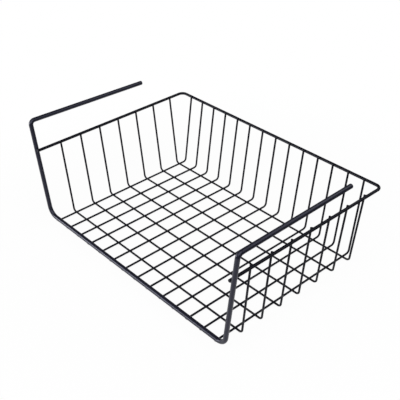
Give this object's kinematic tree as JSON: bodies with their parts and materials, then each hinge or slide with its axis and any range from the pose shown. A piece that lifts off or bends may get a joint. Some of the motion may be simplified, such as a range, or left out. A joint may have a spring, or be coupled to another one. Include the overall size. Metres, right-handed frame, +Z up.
{
  "type": "hanging cabinet basket",
  "caption": "Open-fronted black wire basket that hangs under a shelf by arms lying on the board, with a welded grid of bent wires for its floor and walls.",
  "frame": {"origin": "middle of the footprint, on the surface that the undersides of the cross wires stand on", "axes": "+X to the right seen from the open front, +Y from the open front to the back wall, +Z up"},
  "size_m": [0.4004, 0.2626, 0.1514],
  "materials": {
    "black_powder_coat": "satin black powder coat on steel wire, with a faint orange-peel texture"
  },
  "bodies": {
    "root": {"hanger_frame": "black_powder_coat", "rim_wire": "black_powder_coat", "floor_wire_01": "black_powder_coat", "floor_wire_02": "black_powder_coat", "floor_wire_03": "black_powder_coat", "floor_wire_04": "black_powder_coat", "floor_wire_05": "black_powder_coat", "floor_wire_06": "black_powder_coat", "floor_wire_07": "black_powder_coat", "floor_wire_08": "black_powder_coat", "floor_wire_09": "black_powder_coat", "floor_wire_10": "black_powder_coat", "floor_wire_11": "black_powder_coat", "floor_wire_12": "black_powder_coat", "floor_wire_13": "black_powder_coat", "floor_wire_14": "black_powder_coat", "cross_wire_1": "black_powder_coat", "cross_wire_2": "black_powder_coat", "cross_wire_3": "black_powder_coat", "cross_wire_4": "black_powder_coat", "cross_wire_5": "black_powder_coat", "cross_wire_6": "black_powder_coat", "cross_wire_7": "black_powder_coat"}
  },
  "joints": []
}
